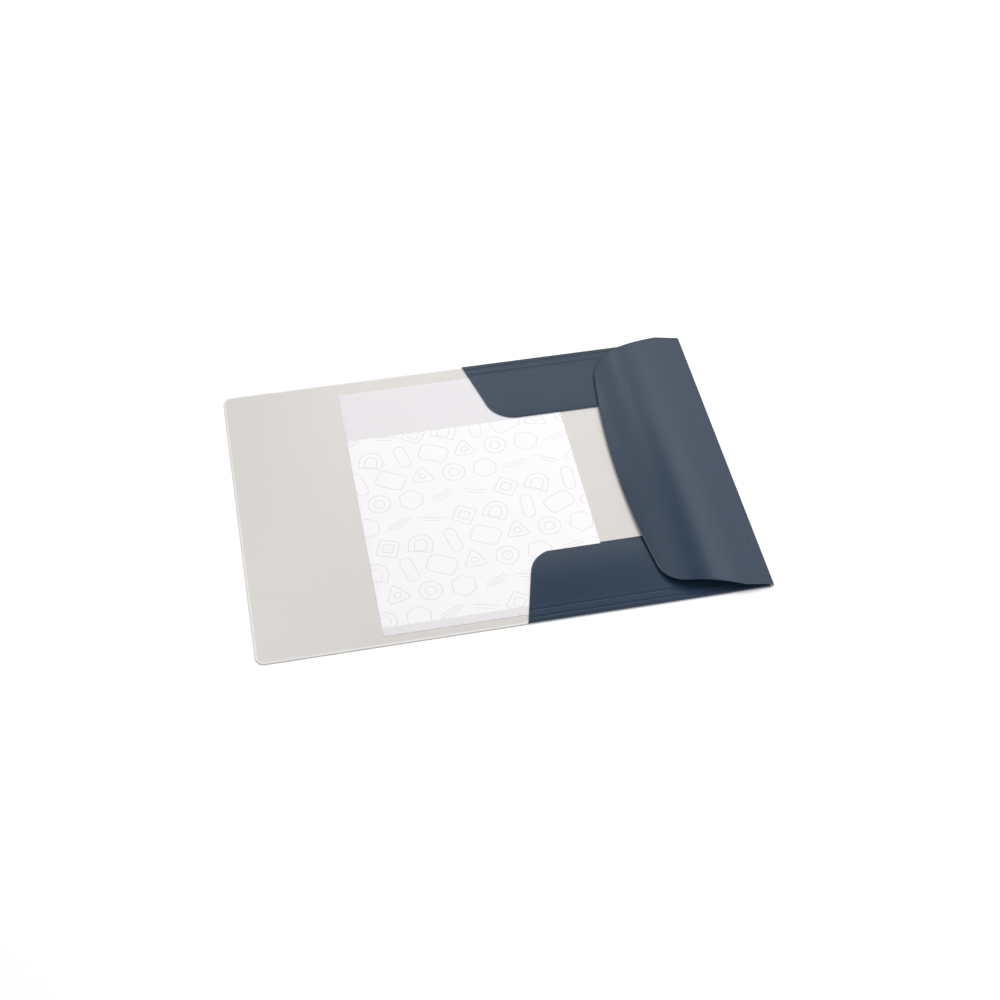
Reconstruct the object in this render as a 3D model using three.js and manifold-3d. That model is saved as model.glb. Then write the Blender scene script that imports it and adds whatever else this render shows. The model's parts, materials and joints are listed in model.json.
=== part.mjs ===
import * as THREE from 'three';
import { mergeVertices } from 'three/addons/utils/BufferGeometryUtils.js';
import Module from 'manifold-3d';

// Three-flap folder with an elastic band, lying open with its front cover to the left.
// One creased polypropylene sheet makes the covers, the spine and the three flaps. The sheet is
// slate blue outside and pale grey inside, so the covers show pale and the folded flaps show slate.
// Millimetres, +Z up. The origin is the middle of the open folder, on the surface that it lies on.

// Sheet
const SHEET_THICKNESS = 0.6;
const FOLDER_HEIGHT = 323;
const FRONT_COVER_WIDTH = 224.5;
const SPINE_WIDTH = 13;
const BACK_COVER_WIDTH = 225.5;
const COVER_CORNER_RADIUS = 8;

// Creases
const PANEL_GAP = 0.3;
const HINGE_THINNING = 0.25;
const HINGE_THINNING_WIDTH = 1;
const GROOVE_WIDTH = 1.2;
const GROOVE_DEPTH = 0.2;
const FIRST_CREASE = 5;
const SECOND_CREASE = 12.8;

// Near and far flaps, folded flat over the back cover
const END_FLAP_DEPTH = 78.3;
const END_FLAP_SPACE = 0.7;
const END_FLAP_CORNER_RADIUS = 29;
const END_FLAP_ROOT_RADIUS = 1.5;
const END_FLAP_TO_LIP = 2.4;
const FLAP_TAPER = THREE.MathUtils.degToRad(14.7);

// Side flap, which springs up in a low bulge from its crease on top of the back cover's lip
const LIP_HEIGHT = 3;
const LIP_LEAN = THREE.MathUtils.degToRad(16);
const LIP_BEND_RADIUS = 0.9;
const SIDE_FLAP_WIDTH = 106.3;
const SIDE_FLAP_CREASE = 8.6;
const SIDE_FLAP_END_INSET = 0.6;
const SIDE_FLAP_TAPER_START = 25;
const SIDE_FLAP_CORNER_RADIUS = 31;
const SIDE_FLAP_EDGE_RADIUS = 870;
const SIDE_FLAP_TIP_WIDTH = 8;
const BULGE_DISTANCE = 58;
const BULGE_RISE = 9.6;
const BULGE_START_SLOPE = 0.2;
const BULGE_DROP = 9.2;
const BULGE_END_SLOPE = 0.11;

// Insert sheet, A4, laid across the spine with its right half under the end flaps
const INSERT_WIDTH = 210;
const INSERT_HEIGHT = 297;
const INSERT_THICKNESS = 0.2;
const INSERT_CLEARANCE = 0.15;
const INSERT_OFFSET_X = -15.1;
const INSERT_OFFSET_Y = -3.4;

// Elastic band under the back cover, with its ends through two slots to flat metal clips
const BAND_WIDTH = 6;
const BAND_THICKNESS = 0.6;
const BAND_CLEARANCE = 0.1;
const BAND_BEND_RADIUS = 0.8;
const BAND_FROM_FREE_EDGE = 45;
const BAND_END_FROM_EDGE = 14;
const SLOT_CLEARANCE = 0.35;
const CLIP_LENGTH = 12;
const CLIP_WIDTH = 5;
const CLIP_THICKNESS = 0.3;
const CLIP_CORNER_RADIUS = 1.5;
const CLIP_CLEARANCE = 0.2;

// Places that follow from the sizes above
const halfHeight = FOLDER_HEIGHT / 2;
const folderWidth = FRONT_COVER_WIDTH + SPINE_WIDTH + BACK_COVER_WIDTH;
const leftEdge = -folderWidth / 2;
const rightEdge = folderWidth / 2;
const coverCrease = leftEdge + FRONT_COVER_WIDTH;
const spineCrease = rightEdge - BACK_COVER_WIDTH;
const sheetUnder = BAND_THICKNESS + BAND_CLEARANCE;
const sheetTop = sheetUnder + SHEET_THICKNESS;
const foldRadius = SHEET_THICKNESS + END_FLAP_SPACE / 2;
const endFlapTop = sheetUnder + 2 * foldRadius;
const lipTop = sheetTop + LIP_HEIGHT;
const lipBend = {
  x: rightEdge - LIP_BEND_RADIUS,
  z: sheetUnder + LIP_BEND_RADIUS,
  end: Math.PI / 2 + LIP_LEAN,
};
const lipRise = lipTop - lipBend.z + LIP_BEND_RADIUS * Math.cos(lipBend.end);
const sideHinge = lipBend.x + LIP_BEND_RADIUS * Math.sin(lipBend.end) - lipRise * Math.tan(LIP_LEAN);
const bandX = rightEdge - BAND_FROM_FREE_EDGE;
const bandEndY = halfHeight - BAND_END_FROM_EDGE;

const wasm = await Module();
wasm.setup();

function range(count) {
  return Array.from({ length: count }, (_, i) => i);
}

function steps(from, to, count) {
  return range(count + 1).map((i) => from + ((to - from) * i) / count);
}

// A stretch of sheet as one closed solid. Each station is a straight line across the sheet: its
// outer and inner face points are given along and above the sheet's run, and it lies between
// start and end across the run. place turns a point and its place across into x, y and z.
function sheetSolid(stations, place) {
  const points = stations.flatMap(({ outer, inner, start, end }) => [
    place(outer, start),
    place(outer, end),
    place(inner, end),
    place(inner, start),
  ]);
  const triangles = [];
  const addQuad = (a, b, c, d) => triangles.push([a, b, c], [a, c, d]);
  addQuad(0, 1, 2, 3);
  for (let i = 0; i < stations.length - 1; i += 1) {
    const here = 4 * i;
    const next = here + 4;
    for (const k of range(4)) {
      const side = (k + 1) % 4;
      addQuad(here + k, next + k, next + side, here + side);
    }
  }
  const last = 4 * (stations.length - 1);
  addQuad(last + 3, last + 2, last + 1, last);
  return closedGeometry(points, triangles);
}

// Points and triangles to a geometry whose faces point out
function closedGeometry(points, triangles) {
  const corner = (index) => new THREE.Vector3(...points[index]);
  const volume = triangles.reduce((sum, [a, b, c]) => {
    return sum + corner(a).dot(corner(b).cross(corner(c)));
  }, 0);
  const facingOut = volume > 0 ? triangles : triangles.map(([a, b, c]) => [a, c, b]);
  const geometry = new THREE.BufferGeometry();
  const positions = facingOut.flat().flatMap((index) => points[index]);
  geometry.setAttribute('position', new THREE.Float32BufferAttribute(positions, 3));
  geometry.computeVertexNormals();
  return geometry;
}

function toManifold(geometry) {
  const bare = geometry.clone();
  bare.deleteAttribute('normal');
  bare.deleteAttribute('uv');
  const merged = mergeVertices(bare);
  return new wasm.Manifold(
    new wasm.Mesh({
      numProp: 3,
      vertProperties: new Float32Array(merged.attributes.position.array),
      triVerts: new Uint32Array(merged.index.array),
    }),
  );
}

function fromManifold(solid) {
  const mesh = solid.getMesh();
  const geometry = new THREE.BufferGeometry();
  geometry.setAttribute('position', new THREE.Float32BufferAttribute(mesh.vertProperties, 3));
  geometry.setIndex(Array.from(mesh.triVerts));
  const flat = geometry.toNonIndexed();
  flat.computeVertexNormals();
  return flat;
}

const alongX = ([along, up], across) => [along, across, up];
const alongY = ([along, up], across) => [across, along, up];

// A flat panel's station, with its outer face thinned where a crease runs
function panelStation(x, reach, thinning = 0) {
  return {
    outer: [x, sheetUnder + thinning],
    inner: [x, sheetTop],
    start: -reach,
    end: reach,
  };
}

// The front cover ends in two rounded corners at its free edge
function frontCover() {
  const radius = COVER_CORNER_RADIUS;
  const corner = steps(0, Math.PI / 2, 10).map((angle) => {
    const x = leftEdge + radius * (1 - Math.cos(angle));
    return panelStation(x, halfHeight - radius * (1 - Math.sin(angle)));
  });
  const hingeEdge = coverCrease - PANEL_GAP / 2;
  return sheetSolid(
    [
      ...corner,
      panelStation(hingeEdge - HINGE_THINNING_WIDTH, halfHeight),
      panelStation(hingeEdge, halfHeight, HINGE_THINNING),
    ],
    alongX,
  );
}

function spine() {
  const coverSide = coverCrease + PANEL_GAP / 2;
  const backSide = spineCrease - PANEL_GAP / 2;
  return sheetSolid(
    [
      panelStation(coverSide, halfHeight, HINGE_THINNING),
      panelStation(coverSide + HINGE_THINNING_WIDTH, halfHeight),
      panelStation(backSide - HINGE_THINNING_WIDTH, halfHeight),
      panelStation(backSide, halfHeight, HINGE_THINNING),
    ],
    alongX,
  );
}

// The back cover's panel bends up at its free edge into the low lip that carries the side flap.
// The lip leans in and stops just under the flap.
function backPanelWithLip() {
  const reach = halfHeight - foldRadius;
  const hingeEdge = spineCrease + PANEL_GAP / 2;
  const bendPoint = (angle, radius, rise = 0) => [
    lipBend.x + radius * Math.sin(angle) + rise * Math.cos(angle),
    lipBend.z - radius * Math.cos(angle) + rise * Math.sin(angle),
  ];
  const bendStation = (angle, rise) => ({
    outer: bendPoint(angle, LIP_BEND_RADIUS, rise),
    inner: bendPoint(angle, LIP_BEND_RADIUS - SHEET_THICKNESS, rise),
    start: -reach,
    end: reach,
  });
  const bend = steps(0, lipBend.end, 8).map((angle) => bendStation(angle));
  const lipLength = (lipRise - SHEET_THICKNESS - PANEL_GAP) / Math.cos(LIP_LEAN);
  const top = bendStation(lipBend.end, lipLength);
  return sheetSolid(
    [
      panelStation(hingeEdge, reach, HINGE_THINNING),
      panelStation(hingeEdge + HINGE_THINNING_WIDTH, reach),
      ...bend,
      top,
    ],
    alongX,
  );
}

// How far an end flap's tapered side has drawn in, at a distance from its fold
function endFlapInset(distance) {
  const radius = END_FLAP_CORNER_RADIUS;
  const taperEnd = END_FLAP_DEPTH - radius * (1 - Math.sin(FLAP_TAPER));
  if (distance > taperEnd) {
    const centre = taperEnd * Math.tan(FLAP_TAPER) + radius * Math.cos(FLAP_TAPER);
    return centre - Math.sqrt(Math.max(0, radius ** 2 - (distance - END_FLAP_DEPTH + radius) ** 2));
  }
  const intoRoot = Math.max(0, END_FLAP_ROOT_RADIUS - distance);
  const rounding = END_FLAP_ROOT_RADIUS - Math.sqrt(END_FLAP_ROOT_RADIUS ** 2 - intoRoot ** 2);
  return distance * Math.tan(FLAP_TAPER) + rounding;
}

// An end flap turns over in a tight fold, lies flat over the cover and ends in rounded corners.
// side is 1 for the far flap and -1 for the near one.
function endFlap(side) {
  const left = spineCrease + PANEL_GAP / 2;
  const right = rightEdge - SHEET_THICKNESS - END_FLAP_TO_LIP;
  const station = (distance, outerZ, innerDistance, innerZ) => ({
    outer: [side * (halfHeight - distance), outerZ],
    inner: [side * (halfHeight - innerDistance), innerZ],
    start: left + endFlapInset(distance),
    end: right - endFlapInset(distance),
  });
  const innerRadius = foldRadius - SHEET_THICKNESS;
  const foldZ = sheetUnder + foldRadius;
  const fold = steps(0, Math.PI, 10).map((angle) =>
    station(
      foldRadius * (1 - Math.sin(angle)),
      foldZ - foldRadius * Math.cos(angle),
      foldRadius - innerRadius * Math.sin(angle),
      foldZ - innerRadius * Math.cos(angle),
    ),
  );
  const flat = (distance, groove = 0) =>
    station(distance, endFlapTop - groove, distance, endFlapTop - SHEET_THICKNESS);
  const creases = [FIRST_CREASE, SECOND_CREASE].flatMap((crease) => [
    flat(crease - GROOVE_WIDTH / 2),
    flat(crease, GROOVE_DEPTH),
    flat(crease + GROOVE_WIDTH / 2),
  ]);
  const radius = END_FLAP_CORNER_RADIUS;
  const corner = steps(FLAP_TAPER, Math.PI / 2, 12).map((angle) =>
    flat(END_FLAP_DEPTH - radius * (1 - Math.sin(angle))),
  );
  return sheetSolid([...fold, ...creases, ...corner], alongY);
}

function bandSlot(side) {
  const length = BAND_WIDTH + 2 * SLOT_CLEARANCE;
  const width = BAND_THICKNESS + 2 * SLOT_CLEARANCE;
  const slot = new THREE.BoxGeometry(length, width, 4 * SHEET_THICKNESS);
  slot.translate(bandX, side * bandEndY, sheetUnder + SHEET_THICKNESS / 2);
  return slot;
}

// The slots are cut in the panel before the end flaps, which cover them, are joined to it
function backCover() {
  let panel = toManifold(backPanelWithLip());
  for (const side of [-1, 1]) {
    panel = panel.subtract(toManifold(bandSlot(side)));
  }
  for (const side of [-1, 1]) {
    panel = panel.add(toManifold(endFlap(side)));
  }
  return fromManifold(panel);
}

// Outline of the side flap: half of its length, at a distance from its crease. The ends run
// square, then taper, and a corner arc leads into the shallow arc of the free edge.
function sideFlapOutline() {
  const squareReach = halfHeight - SIDE_FLAP_END_INSET;
  const radius = SIDE_FLAP_CORNER_RADIUS;
  const edgeCentre = SIDE_FLAP_WIDTH - SIDE_FLAP_EDGE_RADIUS;
  const along = new THREE.Vector2(Math.cos(FLAP_TAPER), -Math.sin(FLAP_TAPER));
  const inward = new THREE.Vector2(-Math.sin(FLAP_TAPER), -Math.cos(FLAP_TAPER));
  const offset = new THREE.Vector2(SIDE_FLAP_TAPER_START, squareReach)
    .addScaledVector(inward, radius)
    .sub(new THREE.Vector2(edgeCentre, 0));
  const reach = offset.dot(along);
  const spare = (SIDE_FLAP_EDGE_RADIUS - radius) ** 2 - offset.lengthSq();
  const corner = offset.addScaledVector(along, Math.sqrt(reach ** 2 + spare) - reach);
  const cornerAngle = Math.atan2(corner.y, corner.x);
  const cornerDistance = edgeCentre + corner.x;
  const taperEnd = cornerDistance + radius * Math.sin(FLAP_TAPER);
  const edgeStart = cornerDistance + radius * Math.cos(cornerAngle);
  const halfLength = (distance) => {
    if (distance <= SIDE_FLAP_TAPER_START) {
      return squareReach;
    }
    if (distance <= taperEnd) {
      return squareReach - (distance - SIDE_FLAP_TAPER_START) * Math.tan(FLAP_TAPER);
    }
    if (distance <= edgeStart) {
      return corner.y + Math.sqrt(radius ** 2 - (distance - cornerDistance) ** 2);
    }
    return Math.sqrt(SIDE_FLAP_EDGE_RADIUS ** 2 - (distance - edgeCentre) ** 2);
  };
  const cornerStations = steps(Math.PI / 2 - FLAP_TAPER, cornerAngle, 12).map(
    (angle) => cornerDistance + radius * Math.cos(angle),
  );
  const tipAngle = Math.asin(SIDE_FLAP_TIP_WIDTH / 2 / SIDE_FLAP_EDGE_RADIUS);
  const edgeStations = steps(cornerAngle, tipAngle, 8)
    .slice(1)
    .map((angle) => edgeCentre + SIDE_FLAP_EDGE_RADIUS * Math.cos(angle));
  return { halfLength, taperEnd, curved: [...cornerStations, ...edgeStations] };
}

// Height of the side flap's outer face above its crease and its slope, at a distance from it
function bulge(distance) {
  const rising = distance < BULGE_DISTANCE;
  const run = rising ? BULGE_DISTANCE : SIDE_FLAP_WIDTH - BULGE_DISTANCE;
  const edgeHeight = BULGE_RISE - BULGE_DROP;
  const heights = rising
    ? [0, (BULGE_START_SLOPE * run) / 3, BULGE_RISE, BULGE_RISE]
    : [BULGE_RISE, BULGE_RISE, edgeHeight + (BULGE_END_SLOPE * run) / 3, edgeHeight];
  const curve = new THREE.CubicBezierCurve(
    ...heights.map((height, i) => new THREE.Vector2((run * i) / 3, height)),
  );
  const t = (rising ? distance : distance - BULGE_DISTANCE) / run;
  const tangent = curve.getTangent(t);
  return { height: curve.getPoint(t).y, slope: tangent.y / tangent.x };
}

function sideFlap() {
  const { halfLength, taperEnd, curved } = sideFlapOutline();
  const station = (distance, groove = 0) => {
    const { height, slope } = bulge(distance);
    const down = new THREE.Vector2(slope, -1).normalize();
    const point = (depth) => [
      sideHinge - distance - depth * down.x,
      lipTop + height + depth * down.y,
    ];
    const reach = halfLength(distance);
    return { outer: point(groove), inner: point(SHEET_THICKNESS), start: -reach, end: reach };
  };
  const crease = [
    station(SIDE_FLAP_CREASE - GROOVE_WIDTH / 2),
    station(SIDE_FLAP_CREASE, GROOVE_DEPTH),
    station(SIDE_FLAP_CREASE + GROOVE_WIDTH / 2),
  ];
  const square = steps(SIDE_FLAP_CREASE + GROOVE_WIDTH / 2, SIDE_FLAP_TAPER_START, 3).slice(1);
  const tapered = steps(SIDE_FLAP_TAPER_START, taperEnd, 10).slice(1, -1);
  return sheetSolid(
    [
      station(0),
      ...crease,
      ...square.map((distance) => station(distance)),
      ...tapered.map((distance) => station(distance)),
      ...curved.map((distance) => station(distance)),
    ],
    alongX,
  );
}

function insertSheet() {
  const sheet = new THREE.BoxGeometry(INSERT_WIDTH, INSERT_HEIGHT, INSERT_THICKNESS);
  sheet.translate(0, 0, INSERT_THICKNESS / 2);
  return sheet;
}

// The band runs flat under the cover, and each end turns up through its slot
function elasticBand() {
  const innerRadius = BAND_BEND_RADIUS - BAND_THICKNESS;
  const outerY = bandEndY + BAND_THICKNESS / 2;
  const bendY = outerY - BAND_BEND_RADIUS;
  const legTop = sheetTop + CLIP_CLEARANCE / 2;
  const station = (outer, inner) => ({
    outer,
    inner,
    start: bandX - BAND_WIDTH / 2,
    end: bandX + BAND_WIDTH / 2,
  });
  const end = (side) => [
    ...steps(0, Math.PI / 2, 5).map((angle) =>
      station(
        [side * (bendY + BAND_BEND_RADIUS * Math.sin(angle)), BAND_BEND_RADIUS * (1 - Math.cos(angle))],
        [side * (bendY + innerRadius * Math.sin(angle)), BAND_BEND_RADIUS - innerRadius * Math.cos(angle)],
      ),
    ),
    station([side * outerY, legTop], [side * (outerY - BAND_THICKNESS), legTop]),
  ];
  return sheetSolid([...end(-1).reverse(), ...end(1)], alongY);
}

function bandClip() {
  const half = { x: CLIP_LENGTH / 2, y: CLIP_WIDTH / 2 };
  const r = CLIP_CORNER_RADIUS;
  const shape = new THREE.Shape();
  shape.moveTo(-half.x + r, -half.y);
  shape.lineTo(half.x - r, -half.y);
  shape.absarc(half.x - r, -half.y + r, r, -Math.PI / 2, 0);
  shape.lineTo(half.x, half.y - r);
  shape.absarc(half.x - r, half.y - r, r, 0, Math.PI / 2);
  shape.lineTo(-half.x + r, half.y);
  shape.absarc(-half.x + r, half.y - r, r, Math.PI / 2, Math.PI);
  shape.lineTo(-half.x, -half.y + r);
  shape.absarc(-half.x + r, -half.y + r, r, Math.PI, (3 * Math.PI) / 2);
  return new THREE.ExtrudeGeometry(shape, {
    depth: CLIP_THICKNESS,
    bevelEnabled: false,
    curveSegments: 6,
  });
}

const slateSheet = new THREE.MeshStandardMaterial({ color: 0x4b5a69, roughness: 0.45 });
const paleSheet = new THREE.MeshStandardMaterial({ color: 0xdfdad6, roughness: 0.45 });
const printedPaper = new THREE.MeshStandardMaterial({ color: 0xf4f2f4, roughness: 0.8 });
const wovenElastic = new THREE.MeshStandardMaterial({ color: 0x3a4754, roughness: 0.9 });
const clipSteel = new THREE.MeshStandardMaterial({
  color: 0xb4b6b8,
  roughness: 0.35,
  metalness: 1,
});

function named(name, geometry, material) {
  const mesh = new THREE.Mesh(geometry, material);
  mesh.name = name;
  return mesh;
}

const folder = new THREE.Group();
folder.add(
  named('front_cover', frontCover(), paleSheet),
  named('spine', spine(), paleSheet),
  named('back_cover', backCover(), slateSheet),
  named('side_flap', sideFlap(), slateSheet),
);

const insert = named('insert_sheet', insertSheet(), printedPaper);
insert.position.set(INSERT_OFFSET_X, INSERT_OFFSET_Y, sheetTop + INSERT_CLEARANCE);
folder.add(insert);

const closure = new THREE.Group();
closure.add(named('elastic_band', elasticBand(), wovenElastic));
for (const [name, side] of [['band_clip_near', -1], ['band_clip_far', 1]]) {
  const clip = named(name, bandClip(), clipSteel);
  clip.position.set(bandX, side * bandEndY, sheetTop + CLIP_CLEARANCE);
  closure.add(clip);
}
folder.add(closure);

export default folder;
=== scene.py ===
# %% [markdown]
# A three-flap folder, cell by cell
#
# The object is an A4 folder that is creased out of one sheet of polypropylene, slate blue
# outside and pale grey inside. It lies open, with two end flaps folded over the back cover, a
# side flap that springs up in a low bulge, and a loose sheet of paper across the spine. A sheet
# like this could be modelled by bending a plane by hand. Here each piece starts as its flat
# cutting pattern instead and is wrapped on a profile, as the folding machine does it, so every
# fold keeps the sheet's thickness.
#
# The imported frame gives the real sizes. All modelling below is in millimetres, and a mesh is
# scaled to metres as it is made.

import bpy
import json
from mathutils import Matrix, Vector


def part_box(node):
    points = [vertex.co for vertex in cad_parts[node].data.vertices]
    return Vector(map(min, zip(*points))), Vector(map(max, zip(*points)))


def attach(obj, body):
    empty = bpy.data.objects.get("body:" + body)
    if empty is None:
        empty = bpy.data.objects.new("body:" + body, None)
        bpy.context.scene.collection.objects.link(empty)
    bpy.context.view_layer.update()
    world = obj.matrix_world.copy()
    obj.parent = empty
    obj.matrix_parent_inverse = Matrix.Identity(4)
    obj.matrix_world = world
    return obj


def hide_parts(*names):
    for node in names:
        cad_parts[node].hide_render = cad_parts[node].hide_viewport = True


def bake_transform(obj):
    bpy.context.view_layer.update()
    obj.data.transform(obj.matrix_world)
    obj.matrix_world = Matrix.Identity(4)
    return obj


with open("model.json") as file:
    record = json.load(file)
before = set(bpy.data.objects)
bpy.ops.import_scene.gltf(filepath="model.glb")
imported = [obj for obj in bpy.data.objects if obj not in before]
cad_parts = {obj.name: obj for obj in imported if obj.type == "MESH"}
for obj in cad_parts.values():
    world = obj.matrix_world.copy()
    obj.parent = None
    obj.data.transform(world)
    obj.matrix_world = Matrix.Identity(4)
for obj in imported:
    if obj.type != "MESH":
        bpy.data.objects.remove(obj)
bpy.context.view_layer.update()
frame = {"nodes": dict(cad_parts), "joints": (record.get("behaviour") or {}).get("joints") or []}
print("nodes:", sorted(frame["nodes"]))

# %% [markdown]
# Numpy moves many points at once, and mathutils brings Blender's vectors and its triangulation.
# A folder is drawn in millimetres, so MM turns a length into the metres that Blender works in.
# The scene's unit scale could do that too, but then the frame's metres would no longer fit.

# %% Libraries
import json
import math

import bpy
import numpy as np
from mathutils import Matrix, Vector
from mathutils.geometry import delaunay_2d_cdt

MM = 0.001
print("one millimetre is", MM, "m")

# %% [markdown]
# The places of the creases and edges come from the frame, so that the pieces meet the solids
# that they stand for. What the frame doesn't say, such as the width of a pressed groove, is a
# named value in millimetres in the cell that uses it.

# %% Sizes from the frame
def node_box(name):
    low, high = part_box(name)
    return low / MM, high / MM


def crease_at(name):
    joint = next(joint for joint in frame["joints"] if joint["name"] == name)
    return Vector(joint["pos_m"]) / MM


front_low, _ = node_box("front_cover")
spine_low, spine_high = node_box("spine")
_, back_high = node_box("back_cover")
flap_low, flap_high = node_box("side_flap")
insert_low, insert_high = node_box("insert_sheet")
band_low, band_high = node_box("elastic_band")

left_edge = front_low.x
right_edge = back_high.x
half_height = back_high.y
sheet_under = spine_low.z
thickness = spine_high.z - spine_low.z
spine_middle = (spine_low.x + spine_high.x) / 2
cover_crease = crease_at("cover_fold")
spine_crease = crease_at("spine_fold")
side_crease = crease_at("side_flap_fold")
print(f"open folder {right_edge - left_edge:.1f} by {2 * half_height:.1f} mm")
print(f"sheet {thickness:.2f} mm thick, {sheet_under:.2f} mm above the table")
print(f"creases at x {cover_crease.x:.2f}, {spine_crease.x:.2f} and {side_crease.x:.2f} mm")

# %% [markdown]
# The camera stands where the photograph was taken from: in front of the folder, a little to its
# left and well above it, with a longish lens. Its place and its three directions were solved
# once from the folder's straight edges, so they are given here as plain numbers, and no tracking
# constraint is needed. Blender's camera looks along its own -Z, which is why the third column is
# the direction from the folder back to the lens.

# %% Camera
CAMERA_PLACE = Vector((-0.1992, -0.9764, 1.1436))
CAMERA_RIGHT = Vector((0.98041, -0.19643, 0.01466))
CAMERA_UP = Vector((0.13962, 0.74550, 0.65172))
CAMERA_LENS = 58.16
SENSOR_WIDTH = 36

camera_data = bpy.data.cameras.new("camera")
camera_data.lens = CAMERA_LENS
camera_data.sensor_width = SENSOR_WIDTH
camera = bpy.data.objects.new("camera", camera_data)
bpy.context.scene.collection.objects.link(camera)
camera_back = CAMERA_RIGHT.cross(CAMERA_UP)
turn = Matrix((CAMERA_RIGHT, CAMERA_UP, camera_back)).transposed()
camera.matrix_world = Matrix.Translation(CAMERA_PLACE) @ turn.to_4x4()
bpy.context.scene.camera = camera
bpy.context.scene.view_settings.view_transform = "Standard"
print(f"camera {CAMERA_PLACE.length:.2f} m from the folder's middle")

# %% [markdown]
# Colours are written as they look on screen, 0 to 255, because that is how a maker would note
# them from a swatch. Blender's sockets want linear light. Each colour could be worked out by
# hand, but one helper keeps the readable numbers in the script.

# %% Colour helper
def linear(colour):
    shares = [value / 255 for value in colour]
    return [s / 12.92 if s <= 0.04045 else ((s + 0.055) / 1.055) ** 2.4 for s in shares]


print("mid grey in linear light:", round(linear((128, 128, 128))[0], 3))

# %% [markdown]
# The studio is a white table with light from all around. The world gives an even fill. Rays that
# go to the camera, and those that reflect or pass through, see it as plain white, because a
# product photograph is cut out on white. That is done with the Light Path node and not with more
# light, so the folder's own colours stay as they are written.

# %% World
FILL_STRENGTH = 0.5


def add_node(tree, kind, **settings):
    node = tree.nodes.new(kind)
    for name, value in settings.items():
        setattr(node, name, value)
    return node


def seen_directly(tree):
    """1 for camera, glossy and transmission rays, 0 for the rays that light the object"""
    path = add_node(tree, "ShaderNodeLightPath")
    total = path.outputs["Is Camera Ray"]
    for name in ("Is Glossy Ray", "Is Transmission Ray"):
        either = add_node(tree, "ShaderNodeMath", operation="MAXIMUM")
        tree.links.new(total, either.inputs[0])
        tree.links.new(path.outputs[name], either.inputs[1])
        total = either.outputs[0]
    return total


world = bpy.data.worlds.new("studio")
world.use_nodes = True
bpy.context.scene.world = world
sky = world.node_tree
sky_strength = add_node(sky, "ShaderNodeMapRange")
sky_strength.inputs["To Min"].default_value = FILL_STRENGTH
sky_strength.inputs["To Max"].default_value = 1
sky.links.new(seen_directly(sky), sky_strength.inputs["Value"])
sky.nodes["Background"].inputs["Color"].default_value = (1, 1, 1, 1)
sky.links.new(sky_strength.outputs["Result"], sky.nodes["Background"].inputs["Strength"])
print("world fill", FILL_STRENGTH)

# %% [markdown]
# One big soft lamp stands up and behind on the right. It only has to give the soft contact
# shadows under the flaps, and it is switched off for glossy rays, because what the satin sheet
# mirrors is set up with cards in the next step. A sun lamp would be simpler, but its shadows have
# hard edges, which a studio's soft box never gives.

# %% Key lamp
KEY_PLACE = Vector((0.6, 0.4, 1.65))
KEY_SIZE = 1.3
KEY_POWER = 21


def aim(obj, place, target):
    obj.location = place
    obj.rotation_euler = (target - place).to_track_quat("-Z", "Y").to_euler()


key_data = bpy.data.lights.new("key", "AREA")
key_data.size = KEY_SIZE
key_data.energy = KEY_POWER
key = bpy.data.objects.new("key", key_data)
bpy.context.scene.collection.objects.link(key)
aim(key, KEY_PLACE, Vector((0, 0, 0)))
key.visible_glossy = False
print(f"key lamp {KEY_PLACE.length:.2f} m away, {KEY_SIZE} m wide")

# %% [markdown]
# Satin plastic gets its look from what it mirrors. A photographer hangs white and black cards
# over the table for this, and moves them until the streaks lie well on the bulge. Lamps could do
# it too, but a card can be seen by glossy rays alone, so it changes the streaks and not the
# exposure. Each card is a flat rectangle at one height, given by its left, right, near and far
# edges. A wide dark card lies just above the others, so that the sheet mirrors something dark
# between the streaks.

# %% Reflection cards
CARD_HEIGHT = 1.2
CARD_STEP = 0.01
CARDS = {
    "card_right": ((0.68, 1.03, 0.40, 1.04), 2.6),
    "card_far": ((0.15, 1.15, 1.06, 1.50), 2.2),
    "card_far_left": ((-0.12, 0.15, 1.04, 1.50), 4.0),
    "card_left": ((-0.52, -0.16, 0.55, 0.90), 4.6),
}
DARK_CARD = (-1.0, 0.75, -0.5, 2.2)
DARK_STRENGTH = 0.05


def glowing(name, strength):
    material = bpy.data.materials.new(name)
    material.use_nodes = True
    tree = material.node_tree
    tree.nodes.remove(tree.nodes["Principled BSDF"])
    glow = add_node(tree, "ShaderNodeEmission")
    glow.inputs["Strength"].default_value = strength
    tree.links.new(glow.outputs[0], tree.nodes["Material Output"].inputs["Surface"])
    return material


def stage_plane(name, edges, height, material):
    left, right, near, far = edges
    around = ((left, near), (right, near), (right, far), (left, far))
    corners = [(x, y, height) for x, y in around]
    mesh = bpy.data.meshes.new(name)
    mesh.from_pydata(corners, [], [(0, 1, 2, 3)])
    mesh.materials.append(material)
    plane = bpy.data.objects.new(name, mesh)
    bpy.context.scene.collection.objects.link(plane)
    return plane


def hang_card(name, edges, height, strength):
    card = stage_plane(name, edges, height, glowing(name, strength))
    for kind in ("camera", "diffuse", "transmission", "shadow"):
        setattr(card, "visible_" + kind, False)
    return card


for name, (edges, strength) in CARDS.items():
    hang_card(name, edges, CARD_HEIGHT, strength)
hang_card("card_dark", DARK_CARD, CARD_HEIGHT + CARD_STEP, DARK_STRENGTH)
print(len(CARDS) + 1, "cards at", CARD_HEIGHT, "m")

# %% [markdown]
# The table top is white and keeps the folder's soft shadow. Its colour is a little brighter for
# the rays that are seen directly than for those that bounce, so it shows white without throwing
# extra light up at the folder. A faint glow, again only when seen, evens out the far corners. A
# backdrop with a curved sweep would do as well, but from this high up a flat plane fills the
# whole picture.

# %% Table top
TABLE_HALF = 3
TABLE_SEEN = 1.0
TABLE_BOUNCE = 0.55
TABLE_GLOW = 0.16
TABLE_ROUGHNESS = 0.9

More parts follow.
